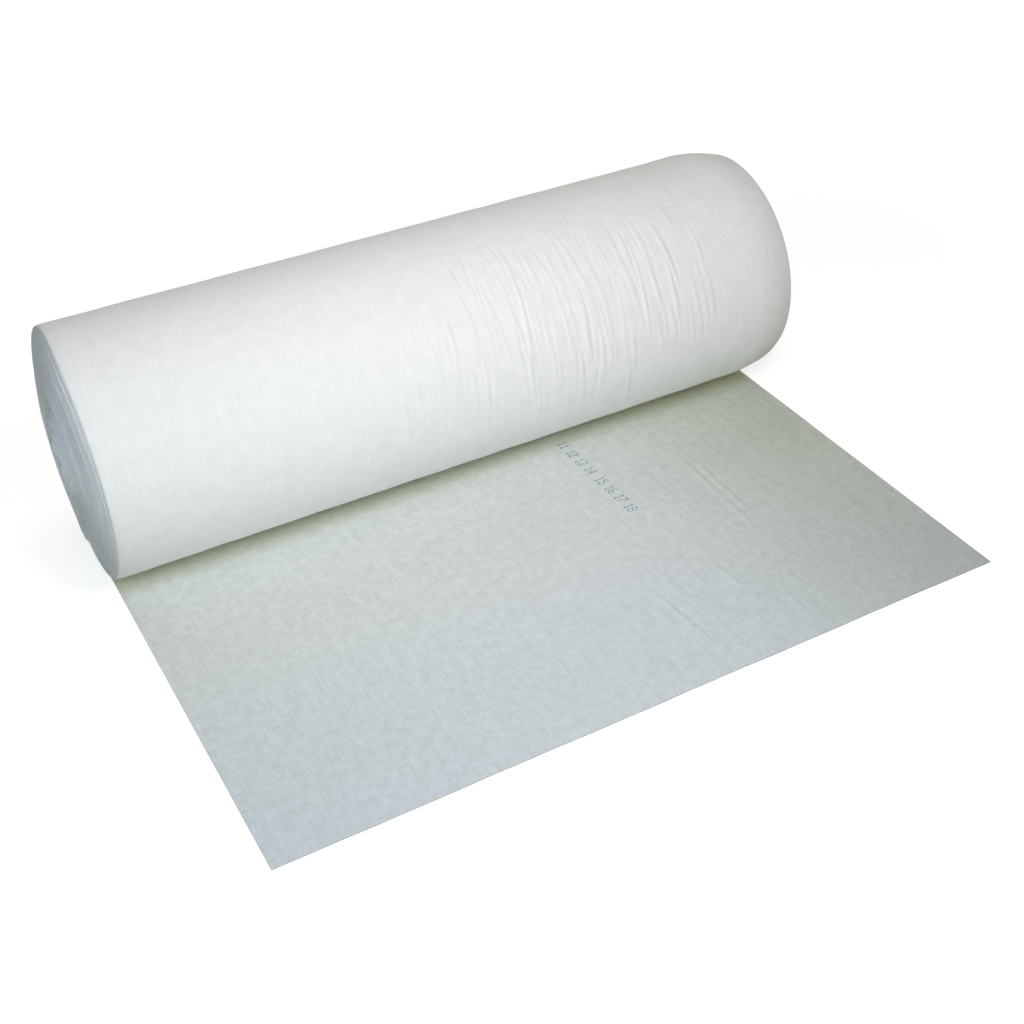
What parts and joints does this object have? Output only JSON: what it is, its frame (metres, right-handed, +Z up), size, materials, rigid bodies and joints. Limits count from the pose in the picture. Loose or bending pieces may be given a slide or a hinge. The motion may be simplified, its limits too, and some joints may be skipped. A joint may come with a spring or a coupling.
{
  "type": "roll of agricultural fleece",
  "caption": "Roll of white nonwoven fleece wound on a cardboard core, its loose end laid flat on the floor; it rolls back and forth as the web is laid out or rolled up.",
  "frame": {"origin": "on the floor under the roll's axis, at the middle of the web's width, on the underside of the laid sheet", "axes": "+X along the roll's axis and the web's width, -Y the way the tail is laid, +Z up"},
  "size_m": [1.023, 0.7791, 0.3365],
  "materials": {
    "fleece": "matte white nonwoven fleece",
    "cardboard": "matte grey-brown wound paperboard"
  },
  "bodies": {
    "sheet": {"laid_sheet": "fleece"},
    "core": {"core_tube": "cardboard"},
    "winding": {"wound_turns": "fleece"}
  },
  "joints": [
    {"name": "roll_travel", "type": "slide", "parent": "sheet", "child": "core", "axis": [0, 1, 0], "range_m": [-0.25, 0.6]},
    {"name": "roll_turn", "type": "hinge", "parent": "core", "child": "winding", "pos_m": [0, 0, 0.16915], "axis": [-1, 0, 0], "range_deg": [-85, 203]}
  ],
  "couplings": [
    {"joint": "roll_turn", "follows": "roll_travel", "rad_per_m": 5.9}
  ]
}
